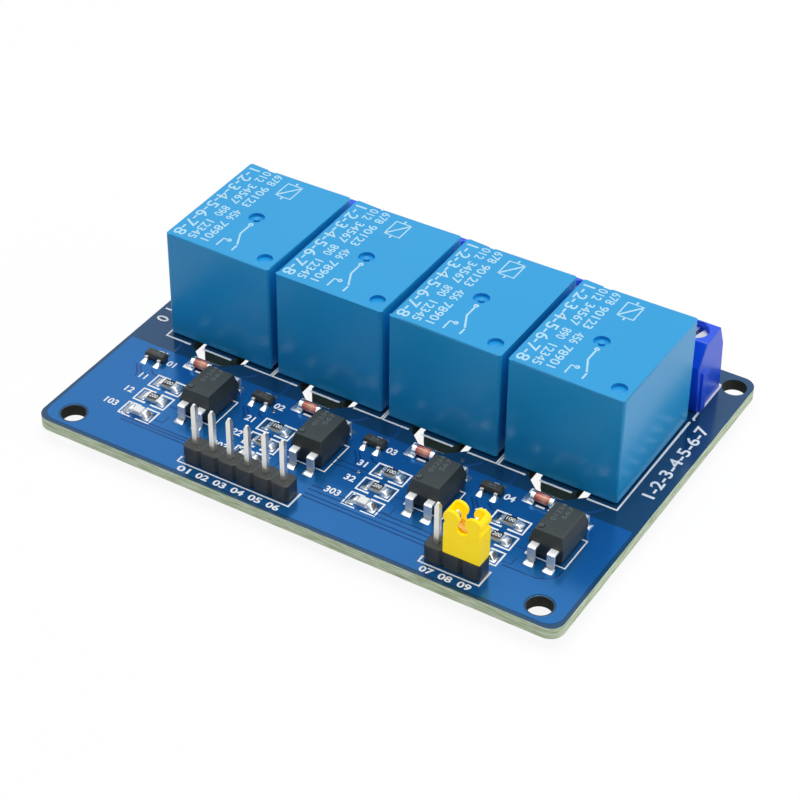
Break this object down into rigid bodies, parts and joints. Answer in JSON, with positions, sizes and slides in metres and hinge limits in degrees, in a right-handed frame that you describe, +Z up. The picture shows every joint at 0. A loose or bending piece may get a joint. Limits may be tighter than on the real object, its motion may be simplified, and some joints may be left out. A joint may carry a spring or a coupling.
{
  "type": "relay module board",
  "caption": "Relay interface board: sealed blue relays in a row, optocoupler inputs, pin headers with a yellow shorting jumper, and screw terminal blocks along the rear edge.",
  "frame": {"origin": "midpoint of the two front mounting holes, on the underside of the board", "axes": "+X along the front edge to the right, seen from above with the headers in front; +Y from the headers to the terminal blocks; +Z up through the board"},
  "size_m": [0.0736, 0.0536, 0.0188],
  "materials": {
    "pcb": "blue solder mask over a beige laminate",
    "solder": "satin",
    "header_plastic": "moulded black",
    "pin_metal": "tin plated",
    "jumper_plastic": "moulded yellow",
    "clip_metal": "stamped",
    "terminal_plastic": "moulded royal blue",
    "clamp_brass": "satin",
    "screw_steel": "zinc plated",
    "relay_cover": "moulded light blue, glossy",
    "relay_base": "moulded dark",
    "coil_copper": "enamelled copper winding",
    "yoke_steel": "nickel plated",
    "armature_steel": "nickel plated",
    "contact_metal": "satin",
    "opto_body": "moulded dark grey",
    "lead_tin": "tin plated",
    "transistor_body": "moulded black",
    "diode_glass": "orange-red glass sleeve",
    "diode_cap": "tin plated",
    "resistor_body": "black glaze",
    "resistor_cap": "tin plated",
    "led_body": "clear moulding on white base"
  },
  "bodies": {
    "board": {"pcb": "pcb", "solder_joints": "solder", "input_header_body": "header_plastic", "power_header_body": "header_plastic", "header_pins": "pin_metal", "terminal_housing_1": "terminal_plastic", "terminal_housing_2": "terminal_plastic", "terminal_housing_3": "terminal_plastic", "terminal_housing_4": "terminal_plastic", "terminal_clamps_1": "clamp_brass", "terminal_clamps_2": "clamp_brass", "terminal_clamps_3": "clamp_brass", "terminal_clamps_4": "clamp_brass", "relay_cover_1": "relay_cover", "relay_cover_2": "relay_cover", "relay_cover_3": "relay_cover", "relay_cover_4": "relay_cover", "relay_base_1": "relay_base", "relay_base_2": "relay_base", "relay_base_3": "relay_base", "relay_base_4": "relay_base", "relay_coil_1": "coil_copper", "relay_coil_2": "coil_copper", "relay_coil_3": "coil_copper", "relay_coil_4": "coil_copper", "relay_yoke_1": "yoke_steel", "relay_yoke_2": "yoke_steel", "relay_yoke_3": "yoke_steel", "relay_yoke_4": "yoke_steel", "relay_contacts": "contact_metal", "optocoupler_1": "opto_body", "optocoupler_2": "opto_body", "optocoupler_3": "opto_body", "optocoupler_4": "opto_body", "optocoupler_leads": "lead_tin", "transistor_bodies": "transistor_body", "transistor_leads": "lead_tin", "diode_glass": "diode_glass", "diode_caps": "diode_cap", "resistor_chips": "resistor_body", "resistor_caps": "resistor_cap", "status_leds": "led_body"},
    "jumper": {"jumper_cap": "jumper_plastic", "jumper_clip": "clip_metal"},
    "screw_1a": {"terminal_screw_1a": "screw_steel"},
    "screw_1b": {"terminal_screw_1b": "screw_steel"},
    "screw_1c": {"terminal_screw_1c": "screw_steel"},
    "screw_2a": {"terminal_screw_2a": "screw_steel"},
    "screw_2b": {"terminal_screw_2b": "screw_steel"},
    "screw_2c": {"terminal_screw_2c": "screw_steel"},
    "screw_3a": {"terminal_screw_3a": "screw_steel"},
    "screw_3b": {"terminal_screw_3b": "screw_steel"},
    "screw_3c": {"terminal_screw_3c": "screw_steel"},
    "screw_4a": {"terminal_screw_4a": "screw_steel"},
    "screw_4b": {"terminal_screw_4b": "screw_steel"},
    "screw_4c": {"terminal_screw_4c": "screw_steel"},
    "armature_1": {"relay_armature_1": "armature_steel"},
    "armature_2": {"relay_armature_2": "armature_steel"},
    "armature_3": {"relay_armature_3": "armature_steel"},
    "armature_4": {"relay_armature_4": "armature_steel"}
  },
  "joints": [
    {"name": "jumper_pull", "type": "slide", "parent": "board", "child": "jumper", "axis": [0, 0, 1], "range_m": [0, 0.007]},
    {"name": "screw_1a_turn", "type": "hinge", "parent": "board", "child": "screw_1a", "pos_m": [-0.02929, 0.04405, 0.0106], "axis": [0, 0, 1], "range_deg": [-720, 720]},
    {"name": "screw_1b_turn", "type": "hinge", "parent": "board", "child": "screw_1b", "pos_m": [-0.02421, 0.04405, 0.0106], "axis": [0, 0, 1], "range_deg": [-720, 720]},
    {"name": "screw_1c_turn", "type": "hinge", "parent": "board", "child": "screw_1c", "pos_m": [-0.01913, 0.04405, 0.0106], "axis": [0, 0, 1], "range_deg": [-720, 720]},
    {"name": "screw_2a_turn", "type": "hinge", "parent": "board", "child": "screw_2a", "pos_m": [-0.01285, 0.04405, 0.0106], "axis": [0, 0, 1], "range_deg": [-720, 720]},
    {"name": "screw_2b_turn", "type": "hinge", "parent": "board", "child": "screw_2b", "pos_m": [-0.00777, 0.04405, 0.0106], "axis": [0, 0, 1], "range_deg": [-720, 720]},
    {"name": "screw_2c_turn", "type": "hinge", "parent": "board", "child": "screw_2c", "pos_m": [-0.00269, 0.04405, 0.0106], "axis": [0, 0, 1], "range_deg": [-720, 720]},
    {"name": "screw_3a_turn", "type": "hinge", "parent": "board", "child": "screw_3a", "pos_m": [0.00359, 0.04405, 0.0106], "axis": [0, 0, 1], "range_deg": [-720, 720]},
    {"name": "screw_3b_turn", "type": "hinge", "parent": "board", "child": "screw_3b", "pos_m": [0.00867, 0.04405, 0.0106], "axis": [0, 0, 1], "range_deg": [-720, 720]},
    {"name": "screw_3c_turn", "type": "hinge", "parent": "board", "child": "screw_3c", "pos_m": [0.01375, 0.04405, 0.0106], "axis": [0, 0, 1], "range_deg": [-720, 720]},
    {"name": "screw_4a_turn", "type": "hinge", "parent": "board", "child": "screw_4a", "pos_m": [0.02003, 0.04405, 0.0106], "axis": [0, 0, 1], "range_deg": [-720, 720]},
    {"name": "screw_4b_turn", "type": "hinge", "parent": "board", "child": "screw_4b", "pos_m": [0.02511, 0.04405, 0.0106], "axis": [0, 0, 1], "range_deg": [-720, 720]},
    {"name": "screw_4c_turn", "type": "hinge", "parent": "board", "child": "screw_4c", "pos_m": [0.03019, 0.04405, 0.0106], "axis": [0, 0, 1], "range_deg": [-720, 720]},
    {"name": "armature_1_swing", "type": "hinge", "parent": "board", "child": "armature_1", "pos_m": [-0.02466, 0.02245, 0.01425], "axis": [-1, 0, 0], "range_deg": [0, 2.2], "stiffness_Nm_per_rad": 0.01, "springref_deg": -5.73},
    {"name": "armature_2_swing", "type": "hinge", "parent": "board", "child": "armature_2", "pos_m": [-0.00822, 0.02245, 0.01425], "axis": [-1, 0, 0], "range_deg": [0, 2.2], "stiffness_Nm_per_rad": 0.01, "springref_deg": -5.73},
    {"name": "armature_3_swing", "type": "hinge", "parent": "board", "child": "armature_3", "pos_m": [0.00822, 0.02245, 0.01425], "axis": [-1, 0, 0], "range_deg": [0, 2.2], "stiffness_Nm_per_rad": 0.01, "springref_deg": -5.73},
    {"name": "armature_4_swing", "type": "hinge", "parent": "board", "child": "armature_4", "pos_m": [0.02466, 0.02245, 0.01425], "axis": [-1, 0, 0], "range_deg": [0, 2.2], "stiffness_Nm_per_rad": 0.01, "springref_deg": -5.73}
  ]
}
